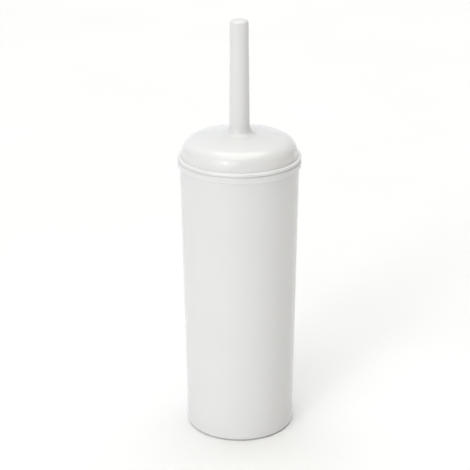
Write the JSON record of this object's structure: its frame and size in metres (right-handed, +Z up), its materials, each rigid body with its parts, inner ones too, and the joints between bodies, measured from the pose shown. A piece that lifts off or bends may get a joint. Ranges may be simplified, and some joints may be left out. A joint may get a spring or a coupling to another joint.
{
  "type": "toilet brush holder",
  "caption": "Tall tapered closed holder with a drip cup and a toilet brush whose domed lid covers the mouth and whose worn head unscrews from the shank.",
  "frame": {"origin": "centre of the holder's footprint, on the floor", "axes": "+Z up along the holder's axis towards the handle's top; -Y is the front; +X is to the right seen from the front"},
  "size_m": [0.1034, 0.1034, 0.36],
  "materials": {
    "body_plastic": "white injection-moulded polypropylene, glossy",
    "inner_plastic": "white polypropylene, semi-gloss",
    "hub_plastic": "white polypropylene, satin",
    "bristles": "white nylon filament",
    "soft_ring": "light grey thermoplastic rubber, matt",
    "washer_rubber": "black rubber, matt",
    "anchor_wire": "flat stainless wire"
  },
  "bodies": {
    "holder": {"holder_shell": "body_plastic", "anti_slip_ring": "soft_ring"},
    "cup": {"drip_cup": "inner_plastic"},
    "cover": {"lid": "body_plastic"},
    "grip": {"handle": "body_plastic", "shank": "inner_plastic"},
    "seal": {"head_washer": "washer_rubber"},
    "head": {"head_core": "hub_plastic", "bristle_row_1": "bristles", "bristle_row_2": "bristles", "bristle_row_3": "bristles", "bristle_row_4": "bristles", "bristle_row_5": "bristles", "bristle_row_6": "bristles", "bristle_row_7": "bristles", "bristle_row_8": "bristles", "bristle_row_9": "bristles", "bristle_row_10": "bristles", "crown_tuft": "bristles", "tuft_anchors": "anchor_wire"}
  },
  "joints": [
    {"name": "cup_lift", "type": "slide", "parent": "holder", "child": "cup", "axis": [0, 0, 1], "range_m": [0, 0.25]},
    {"name": "brush_lift", "type": "slide", "parent": "cup", "child": "cover", "axis": [0, 0, 1], "range_m": [0, 0.25]},
    {"name": "brush_spin", "type": "hinge", "parent": "cover", "child": "grip", "pos_m": [0, 0, 0.257], "axis": [0, 0, 1], "continuous": true},
    {"name": "head_release", "type": "slide", "parent": "grip", "child": "seal", "axis": [0, 0, -1], "range_m": [0, 0.009]},
    {"name": "head_unscrew", "type": "hinge", "parent": "seal", "child": "head", "pos_m": [0, 0, 0.1031], "axis": [0, 0, -1], "range_deg": [0, 1080]}
  ],
  "couplings": [
    {"joint": "head_unscrew", "follows": "head_release", "rad_per_m": 2094.4}
  ]
}
